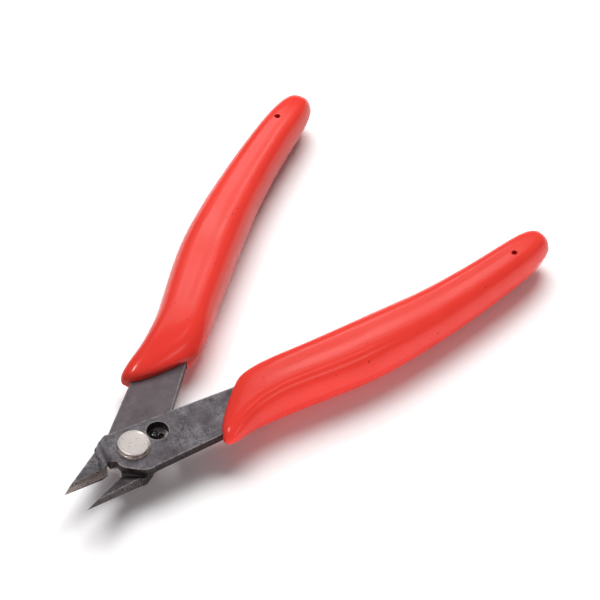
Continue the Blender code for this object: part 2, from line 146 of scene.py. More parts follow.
# What each face of a lever is, in the order of the lever's materials.
ROLLED, WORN_AND_RIDGE_HIGHLIGHT, SHEARED, CUTTING_BEVEL, OUTER_WALL_AND_NOTCH_SHADE, JAW_FACE, BARE_NOTCH_AND_HIGHLIGHT = range(7)
WALL_LIMIT = 0.55
JAW_FACE_LIMIT = 0.3
BEVEL_LIKENESS = 0.995
BEVEL_BACK = -6.0
OUTER_LIKENESS = 0.98
OUTER_BACK = -5.5
NOTCH_HALF_WIDTH = 2.7
NOTCH_BACK = -5.0
NOTCH_FRONT = -9.5
RIDGE_BACK = -0.3
RIDGE_FRONT = 0.25
UPPER_JAW_BACK = 0.3
LOWER_JAW_BACK = -1.8

# Rivet, washer, spring and post.
SHANK_RADIUS = 1.9
SHANK_FIT = 0.06
HEAD_RADIUS = 3.48
HEAD_TOP = 3.6
HEAD_UNDER = 2.92
FACE_SINK = 0.1
FACE_RINGS = 44
RING_RISE = 0.008
RIM_WIDTH = 0.44
RIM_SLOPE = 0.14
RIM_SOFTNESS = 0.01
RIM_ROUND = 0.2
TAIL_RADIUS = 3.1
# The peened tail's edge, as shares of its radius and drops below the plate.
TAIL_ROUND = ((1.0, 0.0), (1.0, 0.2), (0.93, 0.42), (0.72, 0.64), (0.4, 0.7), (0.0, 0.7))
WASHER_RADIUS = 3.8
WASHER_LOW = 2.26
WASHER_HIGH = 2.86
WASHER_SLOPE = 0.3
WASHER_ROUND = 0.24
WASHER_FOOT = 0.1
WIRE_RADIUS = 0.35
COIL_RADIUS = 3.0
COIL_RISE = 0.6
COIL_TURNS = 1.25
COIL_STEPS = 110
LOWER_LEG_ANGLE = math.radians(80)
UPPER_LEG_ANGLE = LOWER_LEG_ANGLE + COIL_TURNS * 2 * math.pi
LOWER_LEG = 6.9
UPPER_LEG = 3.5
RECESS_RADIUS = 3.55
RECESS_DEPTH = 1.05
GROOVE_HALF_WIDTH = 0.6
POST_PLACE = (0.59, 6.16)
POST_RADIUS = 0.9
POST_TOP = 1.3
POST_DOME = 0.6
DOME_STEPS = 12
POST_LOW = -1.6
WINDOW_PLACE = (1.33, 6.6)
WINDOW_RADIUS = 2.5

# Grips: each section spans an outer and an inner point, with a half height, how far its middle
# is lifted, how much of the mouth's form it takes, and the depth of the valley on top.
GRIP_SECTIONS = (
    ((15.1, 14.2), (6.8, 27.3), 2.35, 0.0, 1.0, 0.0),
    ((16.5, 15.0), (6.2, 28.9), 3.2, 0.5, 0.85, 0.0),
    ((16.8, 17.9), (6.5, 31.5), 4.3, 0.9, 0.5, 0.15),
    ((16.9, 22.3), (7.6, 34.8), 5.35, 0.9, 0.2, 0.5),
    ((18.0, 27.1), (8.9, 38.0), 6.3, 0.6, 0.0, 0.8),
    ((19.6, 31.7), (10.5, 41.5), 6.6, 0.4, 0.0, 0.95),
    ((22.4, 37.4), (12.3, 45.6), 6.6, 0.4, 0.0, 1.0),
    ((27.0, 46.8), (14.8, 51.9), 6.6, 0.4, 0.0, 1.0),
    ((29.3, 52.7), (17.2, 57.5), 6.75, 0.45, 0.0, 0.95),
    ((31.8, 60.7), (20.0, 64.8), 6.4, 0.45, 0.0, 0.9),
    ((34.0, 69.7), (23.2, 72.8), 5.95, 0.3, 0.0, 0.85),
    ((35.8, 78.6), (25.7, 81.0), 5.7, 0.3, 0.0, 0.85),
    ((37.3, 87.4), (28.0, 89.3), 5.45, 0.35, 0.0, 0.85),
    ((38.4, 95.2), (29.7, 96.9), 5.2, 0.4, 0.0, 0.7),
    ((38.7, 101.2), (31.1, 103.0), 4.5, 0.4, 0.0, 0.25),
    ((37.9, 105.5), (33.3, 106.5), 2.9, 0.3, 0.0, 0.0),
)
# The mouth's bulge at places across it, from the inner side (-1) to the outer side (1).
MOUTH_PLACES = (-1.0, -0.7, -0.3, 0.4, 0.8, 1.0)
MOUTH_BULGES = (0.0, 0.35, 1.3, 1.95, 1.65, 0.5)
MOUTH_STAND_OFF = 1.1
SECTION_POWER = 2.5
# A section's points, as angles in degrees in the quarter from its outer side to its top.
QUARTER_ANGLES = (0, 3.5, 18, 42, 66)
PARTING_RISE = 0.16
CAGE_GROWTH = 1.03
CAGE_SMOOTHING = 3
POCKET_GAP = 0.14
LEAST_MITRE = 0.4
POCKET_MOUTH = ((4.2, 21.0), (11.4, 9.0))
POCKET_END = ((32.4, 97.2), (34.9, 96.8))
VENT_PLACE = (34.6, 95.0)
VENT_RADIUS = 0.68
VENT_FLOOR = 3.2
VENT_CUT_TOP = 9.0

# Sizes of marks on the steel, in millimetres, with the bearings of the scratches.
SCRATCH_SETS = (((5.0, 0.1, 1.0), math.radians(62)), ((4.0, 0.08, 1.0), math.radians(-28)))
MARK_SIZE = (0.22, 0.22, 5.0)
TURNED_LINES_PER_METRE = 9000.0

# Colours. A pair gives the two that a finish is mixed from.
BLUE_OXIDE = ((0.115, 0.102, 0.114), (0.270, 0.242, 0.260))
BROWN_OXIDE = ((0.195, 0.163, 0.176), (0.262, 0.222, 0.238))
JAW_OXIDE = ((0.075, 0.062, 0.068), (0.13, 0.11, 0.116))
EDGE_OXIDE = ((0.10, 0.10, 0.11), (0.17, 0.165, 0.17))
PIT_SHADE = (0.3, 0.3, 0.3)
SWIRL_GREY = (0.46, 0.47, 0.50)
SPECK_GREY = (0.50, 0.51, 0.53)
SCRATCH_GREY = (0.34, 0.34, 0.36)
CORNER_WEAR_AND_HIGHLIGHT = (0.60, 0.58, 0.57)
EDGE_STEEL = (0.38, 0.36, 0.345)
CHIP_BLACK = (0.02, 0.018, 0.018)
SHEARED_STEEL = ((0.022, 0.018, 0.018), (0.085, 0.070, 0.070))
BEVEL_STEEL = ((0.26, 0.22, 0.20), (0.52, 0.46, 0.42))
OUTER_AND_NOTCH_SHADE_STEEL = ((0.05, 0.042, 0.043), (0.15, 0.13, 0.128))
BARE_NOTCH_HIGHLIGHT_STEEL = ((0.55, 0.53, 0.52), (0.85, 0.83, 0.81))
NICK_BLACK = (0.015, 0.012, 0.012)
GROUND_CORNER_WEAR_AND_HIGHLIGHT = (0.5, 0.47, 0.45)
SPRING_GREY = ((0.24, 0.24, 0.24), (0.14, 0.14, 0.145))
NICKEL = ((0.74, 0.665, 0.635), (0.66, 0.59, 0.565))
NICKEL_SIDE_SHADE = ((0.30, 0.26, 0.23), (0.62, 0.56, 0.50))
NICKEL_LINES = (0.84, 0.77, 0.74)
NICKEL_RIM_HIGHLIGHT = (1.0, 0.94, 0.91)
VINYL = ((0.68, 0.044, 0.031), (0.63, 0.037, 0.026))
VINYL_SPECK = (0.10, 0.008, 0.006)
FLOOR_GREYS = ((0.93, 0.93, 0.93), (0.915, 0.915, 0.915))


# Mesh helpers. Work objects are in millimetres about the pivot.

def work_object(maker, name="work"):
    mesh = bpy.data.meshes.new(name)
    maker.to_mesh(mesh)
    maker.free()
    made = bpy.data.objects.new(name, mesh)
    bpy.context.scene.collection.objects.link(made)
    return made


def drop(*objects):
    for one in objects:
        bpy.data.objects.remove(one, do_unlink=True)


def combined(body, cutters, operation="DIFFERENCE"):
    """The body after each cutter is taken from it, or kept in common with it."""
    for cutter in cutters:
        step = body.modifiers.new("cut", "BOOLEAN")
        step.operation = operation
        step.solver = "EXACT"
        step.object = cutter
    graph = bpy.context.evaluated_depsgraph_get()
    body_mesh = bpy.data.meshes.new_from_object(body.evaluated_get(graph))
    body.modifiers.clear()
    body.data = body_mesh
    drop(*cutters)
    return body


def prism(outline, low, high, turn=None):
    """A solid that stands on an outline, from the low height to the high one."""
    maker = bmesh.new()
    ring = [maker.verts.new((x, y, low)) for x, y in outline]
    base = maker.faces.new(ring)
    raised = bmesh.ops.extrude_face_region(maker, geom=[base])["geom"]
    lifted = [part for part in raised if isinstance(part, bmesh.types.BMVert)]
    bmesh.ops.translate(maker, vec=(0.0, 0.0, high - low), verts=lifted)
    bmesh.ops.recalc_face_normals(maker, faces=maker.faces)
    if turn:
        maker.transform(turn)
    return work_object(maker)


def disc(place, radius, low, high, segments=48):
    points = []
    for i in range(segments):
        angle = 2 * math.pi * i / segments
        points.append((place[0] + radius * math.cos(angle), place[1] + radius * math.sin(angle)))
    return prism(points, low, high)


def slab(start, end, outward):
    """A block that stands on the plane through start and end, and reaches past end only."""
    height, depth, overrun = 14.0, 8.0, 6.0
    along = (end - start).normalized()
    length = (end - start).length + overrun
    maker = bmesh.new()
    bmesh.ops.create_cube(maker, size=1.0)
    bmesh.ops.scale(maker, vec=(height, length, depth), verts=maker.verts)
    turn = Matrix((along.cross(outward), along, outward)).transposed().to_4x4()
    centre = start + along * length / 2 + outward * depth / 2
    maker.transform(Matrix.Translation(centre) @ turn)
    return work_object(maker)


def smooth_line(points, steps):
    """A Catmull-Rom line through the points, with this many steps in each span."""
    knots = [Vector(p) for p in points]
    knots = [knots[0] * 2 - knots[1]] + knots + [knots[-1] * 2 - knots[-2]]
    line = []
    for a, b, c, d in zip(knots, knots[1:], knots[2:], knots[3:]):
        for i in range(steps):
            t = i / steps
            line.append(0.5 * (2 * b + (c - a) * t + (2 * a - 5 * b + 4 * c - d) * t * t
                               + (3 * b - a - 3 * c + d) * t ** 3))
    line.append(knots[-2])
    return [tuple(p) for p in line]


def mirrored_if(side, points):
    """The points as they are for the upper lever, or mirrored for the lower one."""
    return [(-x, y) for x, y in reversed(points)] if side > 0 else list(points)


def settle(body, name, materials, body_name, nodes):
    """Turns a work object into a finished piece of the frame."""
    body.name = name
    body.data.name = name
    body.data.transform(Matrix.Scale(MM, 4) @ Matrix.Translation(PIVOT))
    faces = body.data.polygons
    marks = [face.material_index for face in faces]
    body.data.materials.clear()
    for material in materials:
        body.data.materials.append(material)
    faces.foreach_set("material_index", marks)
    body.data.shade_smooth()
    body.data.set_sharp_from_angle(angle=SMOOTH_LIMIT)
    if body_name:
        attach(body, body_name)
    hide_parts(*nodes)
    return body


# Levers.

def radial(reach):
    return (-math.sin(HALF_OPEN) * reach, -math.cos(HALF_OPEN) * reach)


def lever_outline(notch, heel):
    """Plan of the lever with its jaw at -X."""
    edge_start, edge_end = radial(CUT_START), radial(TIP_REACH)
    tip_flat = (edge_end[0] - TIP_FLAT, edge_end[1])
    ring = smooth_line(HANDLE_INNER, HANDLE_STEPS) + list(TANG_END)
    ring += smooth_line(HANDLE_OUTER[::-1], HANDLE_STEPS)
    ring += smooth_line(PLATE_FRONT + notch + (edge_start,), FRONT_STEPS)
    ring += [edge_end, tip_flat] + smooth_line(heel, HANDLE_STEPS)
    return ring[::-1]


def smooth_step(start, end, from_height, to_height, steps=10):
    points = []
    for i in range(steps + 1):
        part = i / steps
        height = from_height + (to_height - from_height) * (1 - math.cos(math.pi * part)) / 2
        points.append((start + (end - start) * part, height))
    return points


def jaw_top(along):
    return FOLD_HEIGHT + JAW_SLOPE * along


def jaw_under(along):
    return FOLD_HEIGHT - JAW_DEPTH + (JAW_SLOPE + JAW_TAPER) * along


def jaw_profile(start):
    """The jaw's top from start to its front, then its underside back to the fold."""
    points = [(along, jaw_top(along)) for along in (start, PROFILE_FRONT)]
    return points + [(along, jaw_under(along)) for along in (PROFILE_FRONT, 0.0)]


def upper_profile():
    """Side view square to the fold: plate, valley, a fine ridge, then the raised jaw."""
    points = [(PROFILE_BACK, PLATE_TOP)]
    points += smooth_step(STEP_TOP, VALLEY, PLATE_TOP, VALLEY_HEIGHT)
    points += UPPER_RIDGE
    points += jaw_profile(RIDGE_END)
    points += [(UPPER_SHOULDER, jaw_under(0.0)), (UPPER_SHOULDER, LAP_GAP / 2)]
    points += [(PROFILE_BACK, LAP_GAP / 2)]
    return points[::-1]


def lower_profile():
    """Side view square to the fold: plate, then a smooth rise to the raised jaw."""
    points = [(PROFILE_BACK, -LAP_GAP / 2)]
    points += smooth_step(RISE_START, RISE_END, -LAP_GAP / 2, jaw_top(RISE_END) + RISE_CREST)
    points += jaw_profile(RISE_END * 2)
    points += [(LOWER_SHOULDER, -PLATE_TOP), (PROFILE_BACK, -PLATE_TOP)]
    return points[::-1]


def fold_frame(side):
    normal = Vector((FOLD_NORMAL.x * -side, FOLD_NORMAL.y, 0.0))
    across = normal.cross(Vector((0.0, 0.0, 1.0)))
    turn = Matrix((normal, Vector((0.0, 0.0, 1.0)), across)).transposed().to_4x4()
    return Matrix.Translation((FOLD_MIDDLE.x * -side, FOLD_MIDDLE.y, 0.0)) @ turn


def on_jaw(x, y, height_at):
    along = (Vector((x, y, 0.0)) - FOLD_MIDDLE).dot(FOLD_NORMAL)
    return Vector((x, y, height_at(along)))


def jaw_cuts(heel_corner):
    """The ground bevel above the cutting edge, and the leaning outer wall, for the jaw at -X."""
    start = Vector((*radial(BEVEL_START), jaw_under(BEVEL_FOOT)))
    end = on_jaw(*radial(TIP_REACH), jaw_under)
    crest = on_jaw(*BEVEL_CREST, jaw_top)
    bevel = (end - start).cross(crest - start).normalized()
    bevel *= math.copysign(1.0, bevel.x)
    start -= (end - start).normalized() * BEVEL_RUN_BACK
    heel = on_jaw(*heel_corner, jaw_under)
    upright = Vector((-JAW_SLOPE * FOLD_NORMAL.x, -JAW_SLOPE * FOLD_NORMAL.y, 1.0))
    wall = (end - heel).cross(upright).normalized()
    wall *= -math.copysign(1.0, wall.x)
    return (start, end, bevel), (heel, end, wall)


def flip(vector, side):
    return Vector((-side * vector.x, vector.y, vector.z))


def tangent_leg(angle, length, turn_sign):
    start = Vector((COIL_RADIUS * math.sin(angle), COIL_RADIUS * math.cos(angle)))
    heading = Vector((math.cos(angle), -math.sin(angle))) * turn_sign
    return start, start + heading * length


def groove_outline(start, end):
    along = (end - start).normalized()
    across = Vector((-along.y, along.x)) * GROOVE_HALF_WIDTH
    tail = end + along * GROOVE_HALF_WIDTH
    return [tuple(p) for p in (start - across, tail - across, tail + across, start + across)]


def make_lever(side):
    """side is -1 for the upper lever, whose jaw is at -X, and +1 for the lower lever."""
    notch, heel = (UPPER_NOTCH, UPPER_HEEL) if side < 0 else (LOWER_NOTCH, LOWER_HEEL)
    lever = prism(mirrored_if(side, lever_outline(notch, heel)), BLANK_LOW, BLANK_HIGH)
    profile = upper_profile() if side < 0 else lower_profile()
    side_view = prism(profile, -PROFILE_HALF_WIDTH, PROFILE_HALF_WIDTH, fold_frame(side))
    combined(lever, [side_view], "INTERSECT")
    low, high = (-OVERCUT, RECESS_DEPTH) if side < 0 else (-RECESS_DEPTH, OVERCUT)
    cutters = [slab(*[flip(v, side) for v in cut]) for cut in jaw_cuts(heel[0])]
    cutters.append(disc((0, 0), SHANK_RADIUS + SHANK_FIT, -THROUGH, THROUGH))
    cutters.append(disc((0, 0), RECESS_RADIUS, low, high))
    if side < 0:
        leg = tangent_leg(UPPER_LEG_ANGLE, UPPER_LEG, 1)
        cutters.append(disc(WINDOW_PLACE, WINDOW_RADIUS, -OVERCUT, THROUGH, segments=64))
    else:
        leg = tangent_leg(LOWER_LEG_ANGLE, LOWER_LEG, -1)
    cutters.append(prism(groove_outline(*leg), low, high))
    return combined(lever, cutters)


def face_role(face, side, bevel, outer):
    """What a face of a lever is, from its place and from the way it faces."""
    is_upper = side < 0
    levelness = abs(face.normal.z)
    middle = face.calc_center_median()
    along = (flip(Vector((middle.x, middle.y, 0.0)), side) - FOLD_MIDDLE).dot(FOLD_NORMAL)
    if face.normal.dot(bevel) > BEVEL_LIKENESS and middle.y < BEVEL_BACK:
        return CUTTING_BEVEL
    if face.normal.dot(outer) > OUTER_LIKENESS and middle.y < OUTER_BACK:
        return OUTER_WALL_AND_NOTCH_SHADE
    in_notch = abs(middle.x) < NOTCH_HALF_WIDTH and NOTCH_FRONT < middle.y < NOTCH_BACK
    # The notch walls are lit and shaded copies: the upper lever's take the dark outer-wall finish as
    # painted shade, the lower lever's the pale finish as a painted highlight over bare steel.
    if levelness < WALL_LIMIT and in_notch:
        return OUTER_WALL_AND_NOTCH_SHADE if is_upper else BARE_NOTCH_AND_HIGHLIGHT
    # Painted highlight over some wear: a band along the upper jaw's ridge takes the paler worn-edge
    # finish, for the bright line on its crest.
    if is_upper and levelness >= WALL_LIMIT and RIDGE_BACK < along < RIDGE_FRONT:
        return WORN_AND_RIDGE_HIGHLIGHT
    if levelness >= JAW_FACE_LIMIT and along > (UPPER_JAW_BACK if is_upper else LOWER_JAW_BACK):
        return JAW_FACE
    return SHEARED if levelness < WALL_LIMIT else ROLLED


def mark_and_soften(lever, side):
    """Gives each face of the lever its role, then rounds the corners into worn edges."""
    heel = UPPER_HEEL if side < 0 else LOWER_HEEL
    bevel, outer = [flip(cut[2], side) for cut in jaw_cuts(heel[0])]
    maker = bmesh.new()
    maker.from_mesh(lever.data)
    bmesh.ops.remove_doubles(maker, verts=maker.verts, dist=LEVER_WELD)
    bmesh.ops.dissolve_limit(maker, angle_limit=FLAT_LIMIT, verts=maker.verts, edges=maker.edges)
    maker.normal_update()
    for face in maker.faces:
        face.material_index = face_role(face, side, bevel, outer)
    shared = [edge for edge in maker.edges if len(edge.link_faces) == 2]
    corners = [edge for edge in shared if SOFTEST_WORN < edge.calc_face_angle() < SHARPEST_WORN]
    bmesh.ops.bevel(maker, geom=corners, offset=EDGE_WIDTH, offset_type="OFFSET", segments=2,
                    profile=0.5, affect="EDGES", clamp_overlap=True, material=WORN_AND_RIDGE_HIGHLIGHT)
    maker.to_mesh(lever.data)
    maker.free()
    return lever


# Turned pieces and the spring.

def turned(profile, steps=96, place=(0.0, 0.0)):
    """A turned solid from a profile of (radius, height) that starts and ends on the axis,
    or that closes on itself."""
    maker = bmesh.new()
    verts = [maker.verts.new((radius, 0.0, height)) for radius, height in profile]
    edges = [maker.edges.new(pair) for pair in zip(verts, verts[1:])]
    if profile[0][0] > 0:
        edges.append(maker.edges.new((verts[-1], verts[0])))
    bmesh.ops.spin(maker, geom=verts + edges, cent=(0, 0, 0), axis=(0, 0, 1),
                   angle=2 * math.pi, steps=steps, use_merge=True)
    bmesh.ops.remove_doubles(maker, verts=maker.verts, dist=TURNED_WELD)
    bmesh.ops.recalc_face_normals(maker, faces=maker.faces)
    maker.transform(Matrix.Translation((*place, 0.0)))
    return work_object(maker)


def arc(centre, radius, start, end, steps=6):
    points = []
    for i in range(steps + 1):
        angle = math.radians(start + (end - start) * i / steps)
        points.append((centre[0] + radius * math.cos(angle), centre[1] + radius * math.sin(angle)))
    return points


def make_rivet():
    """The head is faced with fine turning rings inside a raised rim."""
    floor = HEAD_TOP - FACE_SINK
    rim = HEAD_RADIUS - RIM_WIDTH
    profile = [(0.0, floor)]
    for i in range(1, FACE_RINGS):
        profile.append((rim * i / FACE_RINGS, floor + RING_RISE * (i % 2)))
    profile += [(rim, floor), (rim + RIM_SLOPE, HEAD_TOP - RIM_SOFTNESS)]
    profile.append((rim + RIM_ROUND, HEAD_TOP))
    profile += arc((HEAD_RADIUS - RIM_ROUND, HEAD_TOP - RIM_ROUND), RIM_ROUND, 90, 0)
    profile += [(HEAD_RADIUS, HEAD_UNDER), (SHANK_RADIUS, HEAD_UNDER)]
    under = -PLATE_TOP - LAP_GAP / 2
    profile.append((SHANK_RADIUS, under))
    profile += [(TAIL_RADIUS * share, under - fall) for share, fall in TAIL_ROUND]
    return turned(profile)


def make_washer():
    bore = SHANK_RADIUS + SHANK_FIT
    profile = [(bore, WASHER_HIGH), (WASHER_RADIUS - WASHER_SLOPE, WASHER_HIGH)]
    profile += arc((WASHER_RADIUS - WASHER_ROUND, WASHER_HIGH - WASHER_ROUND), WASHER_ROUND, 90, 0)
    profile += arc((WASHER_RADIUS - WASHER_FOOT, WASHER_LOW + WASHER_FOOT), WASHER_FOOT, 0, -90, 3)
    profile += [(bore, WASHER_LOW)]
    return turned(profile)


def make_post():
    """A pin with a domed end."""
    profile = [(0.0, POST_TOP)]
    for i in range(1, DOME_STEPS + 1):
        angle = math.pi / 2 * i / DOME_STEPS
        height = POST_TOP - POST_DOME + POST_DOME * math.cos(angle)
        profile.append((POST_RADIUS * math.sin(angle), height))
    profile += [(POST_RADIUS, POST_LOW), (0.0, POST_LOW)]
    return turned(profile, steps=48, place=POST_PLACE)


def make_spring():
    """Wire from the lower lever's groove, round the shank and into the upper lever's groove."""
    lower_end = tangent_leg(LOWER_LEG_ANGLE, LOWER_LEG, -1)[1]
    upper_end = tangent_leg(UPPER_LEG_ANGLE, UPPER_LEG, 1)[1]
    points = [(*lower_end, -COIL_RISE)]
    for i in range(COIL_STEPS + 1):
        part = i / COIL_STEPS
        angle = LOWER_LEG_ANGLE + (UPPER_LEG_ANGLE - LOWER_LEG_ANGLE) * part
        points.append((COIL_RADIUS * math.sin(angle), COIL_RADIUS * math.cos(angle),
                       COIL_RISE * (2 * part - 1)))
    points.append((*upper_end, COIL_RISE))
    curve = bpy.data.curves.new("wire", "CURVE")
    curve.dimensions = "3D"
    curve.bevel_depth = WIRE_RADIUS
    curve.bevel_resolution = 6
    curve.use_fill_caps = True
    spline = curve.splines.new("POLY")
    spline.points.add(len(points) - 1)
    for knot, place in zip(spline.points, points):
        knot.co = (*place, 1.0)
    drawn = bpy.data.objects.new("wire", curve)
    bpy.context.scene.collection.objects.link(drawn)
    graph = bpy.context.evaluated_depsgraph_get()
    mesh = bpy.data.meshes.new_from_object(drawn.evaluated_get(graph))
    drop(drawn)
    spring = bpy.data.objects.new("spring", mesh)
    bpy.context.scene.collection.objects.link(spring)
    return spring


# Grips.

def section_angles():
    half = list(QUARTER_ANGLES) + [90] + [180 - angle for angle in reversed(QUARTER_ANGLES)]
    return half + [180 + angle for angle in half[1:-1]]


def grip_ring(maker, section, side):
    """One ring of the grip's cage. Only its top point is lowered, which leaves a valley."""
    outer, inner, half_height, lift, share, valley = section
    middle = (Vector(outer) + Vector(inner)) / 2
    half = (Vector(outer) - Vector(inner)) / 2 * CAGE_GROWTH
    forward = Vector((half.y, -half.x)).normalized() * share
    ring = []
    for degrees in section_angles():
        angle = math.radians(degrees)
        cosine, sine = math.cos(angle), math.sin(angle)
        across = math.copysign(abs(cosine) ** (2 / SECTION_POWER), cosine)
        rise = math.copysign(abs(sine) ** (2 / SECTION_POWER), sine)
        bulge = float(numpy.interp(across, MOUTH_PLACES, MOUTH_BULGES))
        if degrees in (0, 180):
            across += math.copysign(PARTING_RISE / half.length, across)
        place = middle + half * across + forward * bulge
        height = rise * half_height * CAGE_GROWTH + lift - side * MOUTH_STAND_OFF * share
        if degrees == 90:
            height -= valley
        ring.append(maker.verts.new((place.x * -side, place.y, height)))
    return ring


def make_grip(side):
    """side is -1 for the right grip, on the upper lever, and +1 for the left grip."""
    maker = bmesh.new()
    rings = [grip_ring(maker, section, side) for section in GRIP_SECTIONS]
    count = len(section_angles())
    for ring, following in zip(rings, rings[1:]):
        for i in range(count):
            j = (i + 1) % count
            maker.faces.new((ring[i], ring[j], following[j], following[i]))
    mouth = rings[0]
    maker.faces.new((mouth[0], mouth[1], mouth[-1]))
    for i in range(1, count // 2 - 1):
        maker.faces.new((mouth[i], mouth[i + 1], mouth[-i - 1], mouth[-i]))
    maker.faces.new((mouth[count // 2 - 1], mouth[count // 2], mouth[count // 2 + 1]))
    maker.faces.new(rings[-1])
    bmesh.ops.recalc_face_normals(maker, faces=maker.faces)
    grip = work_object(maker)
    smooth = grip.modifiers.new("smooth", "SUBSURF")
    smooth.levels = CAGE_SMOOTHING
    smooth.render_levels = CAGE_SMOOTHING
    graph = bpy.context.evaluated_depsgraph_get()
    grip.data = bpy.data.meshes.new_from_object(grip.evaluated_get(graph))
    grip.modifiers.clear()
    # The belly's lowest stretch is flat, where the grip rests on the table.
    for vertex in grip.data.vertices:
        vertex.co.z = max(vertex.co.z, -PIVOT.z)
    vent_place = (VENT_PLACE[0] * -side, VENT_PLACE[1])
    vent = disc(vent_place, VENT_RADIUS, VENT_FLOOR, VENT_CUT_TOP, segments=32)
    return combined(grip, [pocket(side), vent])


def pocket(side):
    """The room that a grip leaves for its lever's tang."""
    ring = [POCKET_MOUTH[0]] + smooth_line(HANDLE_INNER, HANDLE_STEPS) + list(POCKET_END)
    ring += smooth_line(HANDLE_OUTER[::-1], HANDLE_STEPS) + [POCKET_MOUTH[1]]
    ring = mirrored_if(side, grown(ring[::-1], POCKET_GAP))
    low, high = LAP_GAP / 2 - POCKET_GAP, PLATE_TOP + POCKET_GAP
    if side > 0:
        low, high = -high, -low
    return prism(ring, low, high)


def grown(ring, distance):
    """A closed outline, drawn either way round, moved outward by a distance."""
    area = sum(x1 * y2 - x2 * y1 for (x1, y1), (x2, y2) in zip(ring, ring[1:] + ring[:1]))
    sign = math.copysign(1.0, area)
    moved = []
    for before, here, after in zip(ring[-1:] + ring[:-1], ring, ring[1:] + ring[:1]):
        first = (Vector(here) - Vector(before)).normalized()
        second = (Vector(after) - Vector(here)).normalized()
        normal = (Vector((first.y + second.y, -first.x - second.x)) * sign).normalized()
        stretch = max(LEAST_MITRE, normal.dot(Vector((first.y, -first.x)) * sign))
        moved.append(tuple(Vector(here) + normal * distance / stretch))
    return moved


# Materials.

class Look:
    """A material's node tree, with short ways to add what these surfaces need."""

    def __init__(self, name, metallic=0.0):
        self.material = bpy.data.materials.new(name)
        self.material.use_nodes = True
        self.tree = self.material.node_tree
        self.shader = self.tree.nodes["Principled BSDF"]
        self.shader.inputs["Metallic"].default_value = metallic
        self.place = self.tree.nodes.new("ShaderNodeTexCoord").outputs["Object"]

    def node(self, kind, inputs=(), **settings):
        made = self.tree.nodes.new(kind)
        for key, value in settings.items():
            setattr(made, key, value)
        for key, value in dict(inputs).items():
            if isinstance(value, bpy.types.NodeSocket):
                self.tree.links.new(value, made.inputs[key])
            else:
                made.inputs[key].default_value = value
        return made

    def stretched(self, size, turn=0.0):
        """The object's own place in steps of size, given in millimetres for each axis."""
        scale = tuple(s * MM for s in size)
        inputs = {"Vector": self.place, "Rotation": (0.0, 0.0, turn), "Scale": scale}
        return self.node("ShaderNodeMapping", inputs, vector_type="TEXTURE").outputs[0]

    def noise(self, size, detail=3.0, roughness=0.5, vector=None):
        """Noise whose features are about size across, in millimetres or in the vector's steps."""
        inputs = {"Detail": detail, "Roughness": roughness}
        inputs["Vector"] = vector or self.place
        inputs["Scale"] = 1 / size if vector else 1 / (size * MM)
        return self.node("ShaderNodeTexNoise", inputs).outputs["Fac"]

    def remap(self, value, low, high, to_low=0.0, to_high=1.0):
        inputs = {"Value": value, "From Min": low, "From Max": high}
        inputs.update({"To Min": to_low, "To Max": to_high})
        return self.node("ShaderNodeMapRange", inputs).outputs["Result"]

    def math(self, operation, first, second):
        return self.node("ShaderNodeMath", {0: first, 1: second}, operation=operation).outputs[0]

    def mix(self, factor, first, second, blend="MIX"):
        made = self.tree.nodes.new("ShaderNodeMix")
        made.data_type = "RGBA"
        made.blend_type = blend
        for number, value in ((0, factor), (6, first), (7, second)):
            socket = made.inputs[number]
            if isinstance(value, bpy.types.NodeSocket):
                self.tree.links.new(value, socket)
            elif socket.type == "RGBA":
                socket.default_value = (*value, 1.0)
            else:
                socket.default_value = value
        return made.outputs[2]

    def bump(self, height, depth, normal=None):
        """A bump whose full height is depth millimetres."""
        inputs = {"Height": height, "Distance": depth * MM}
        if normal:
            inputs["Normal"] = normal
        return self.node("ShaderNodeBump", inputs).outputs["Normal"]

    def corners(self, radius):
        """How close each place is to a sharp corner, from 0 to 1 within this many millimetres."""
        eased = self.node("ShaderNodeBevel", {"Radius": radius * MM}, samples=6).outputs["Normal"]
        flat = self.node("ShaderNodeNewGeometry").outputs["Normal"]
        likeness = self.node("ShaderNodeVectorMath", {0: eased, 1: flat}, operation="DOT_PRODUCT")
        return self.remap(likeness.outputs["Value"], 0.995, 0.90)

    def feed(self, **sockets):
        """Links the shader's sockets, named with underscores, and gives the finished material."""
        for key, value in sockets.items():
            self.tree.links.new(value, self.shader.inputs[key.replace("_", " ")])
        return self.material


def red_vinyl():
    """Dipped red plastic, a little cloudy, with a few small dark specks."""
    look = Look("red_vinyl")
    look.shader.inputs["IOR"].default_value = 1.25
    look.shader.inputs["Specular IOR Level"].default_value = 1.0
    cloud = look.remap(look.noise(16.0, 2.0), 0.3, 0.7)
    colour = look.mix(cloud, *VINYL)
    speck = look.remap(look.noise(1.2, 1.0), 0.775, 0.79)
    colour = look.mix(look.math("MULTIPLY", speck, 0.7), colour, VINYL_SPECK)
    rough = look.remap(look.noise(7.0, 4.0), 0.3, 0.7, 0.20, 0.25)
    normal = look.bump(look.noise(0.5, 3.0), 0.002)
    return look.feed(Base_Color=colour, Roughness=rough, Normal=normal)


